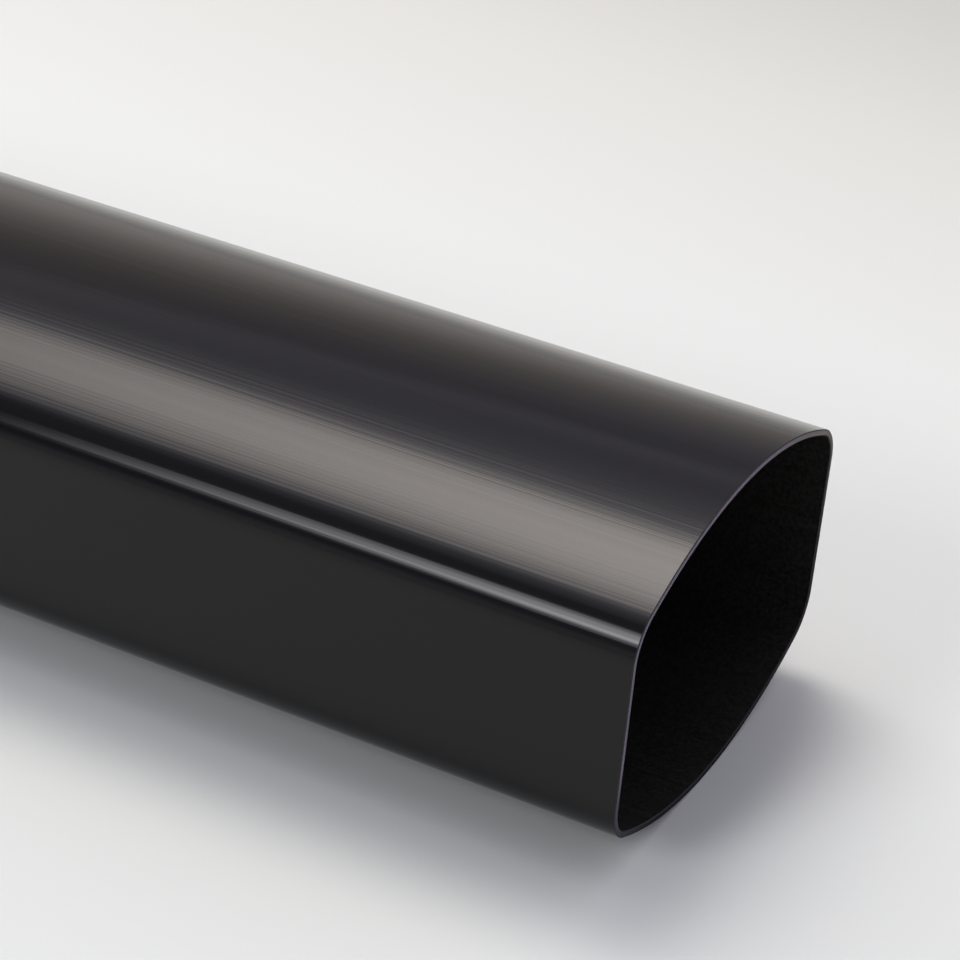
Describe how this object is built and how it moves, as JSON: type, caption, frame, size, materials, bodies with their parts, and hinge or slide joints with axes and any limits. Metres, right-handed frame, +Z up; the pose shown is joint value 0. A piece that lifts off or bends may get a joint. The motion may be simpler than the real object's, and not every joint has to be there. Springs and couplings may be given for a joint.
{
  "type": "plastic downpipe",
  "caption": "Straight length of thin-walled plastic rainwater downpipe with a barrel-shaped section: narrow flat sides, wide bulged faces, rounded corners and plain sawn ends.",
  "frame": {"origin": "middle of the length, under the centre of the section, on the lowest line of the lower bulged face", "axes": "+X along the length, +Y across the width towards one flat side, +Z up from the face it lies on"},
  "size_m": [2.5, 0.1, 0.072],
  "materials": {
    "pipe_plastic": "black extruded rigid plastic, glossy skin with faint lengthwise die lines, dull sawn rims"
  },
  "bodies": {
    "root": {"downpipe": "pipe_plastic"}
  },
  "joints": []
}
